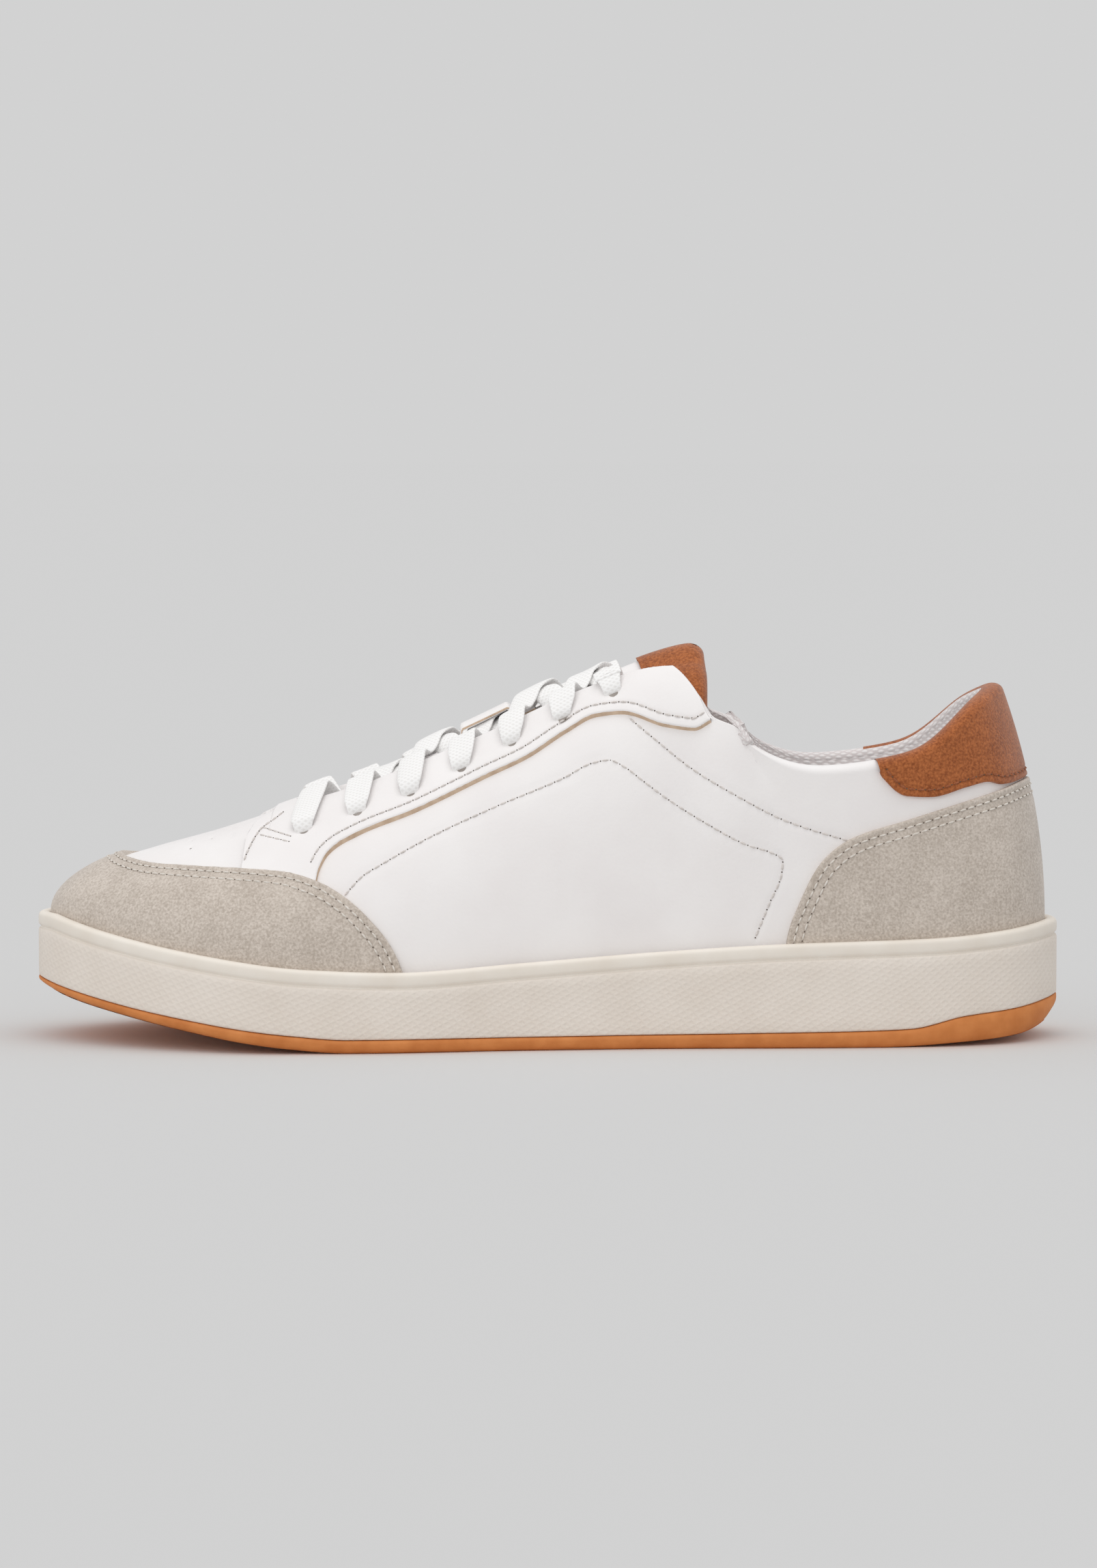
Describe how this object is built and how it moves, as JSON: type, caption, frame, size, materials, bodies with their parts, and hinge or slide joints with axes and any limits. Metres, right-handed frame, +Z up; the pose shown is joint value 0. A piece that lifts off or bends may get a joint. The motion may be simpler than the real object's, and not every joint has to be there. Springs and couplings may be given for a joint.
{
  "type": "court shoe",
  "caption": "Low-top left court shoe: rubber cupsole with gum tread, layered leather and suede upper, padded tongue, flat crossed lace and a lift-out sockliner",
  "frame": {"origin": "on the ground plane under the centre of the bounding box", "axes": "+X from toe to heel, -Y the lateral (outer) side, +Y the medial side, +Z up"},
  "size_m": [0.3, 0.103, 0.1155],
  "materials": {
    "gum_rubber": "matte",
    "cream_rubber": "matte",
    "foam": "matte",
    "board": "matte",
    "white_mesh": "matte",
    "white_leather": "satin",
    "grey_suede": "matte",
    "tan_suede": "matte",
    "lace_weave": "matte"
  },
  "bodies": {
    "shoe": {"outsole": "gum_rubber", "cupsole": "cream_rubber", "midsole_foam": "foam", "strobel_board": "board", "vamp_lining": "white_mesh", "quarter_lining": "white_mesh", "toe_puff": "board", "heel_stiffener": "board", "collar_foam": "foam", "vamp": "white_leather", "quarter_lateral": "white_leather", "quarter_medial": "white_leather", "eyestay_lateral": "white_leather", "eyelet_strip_lateral": "board", "eyestay_medial": "white_leather", "eyelet_strip_medial": "board", "toe_guard": "grey_suede", "heel_counter": "grey_suede", "heel_collar": "tan_suede", "tongue_face": "white_leather", "tongue_foam": "foam", "tongue_lining": "white_mesh", "tongue_label": "tan_suede", "lace": "lace_weave", "lace_keeper": "white_leather"},
    "sockliner": {"sockliner": "white_mesh"}
  },
  "joints": [
    {"name": "sockliner_lift", "type": "hinge", "parent": "shoe", "child": "sockliner", "pos_m": [-0.13, 0, 0.028], "axis": [0, -1, 0], "range_deg": [0, 4]}
  ]
}
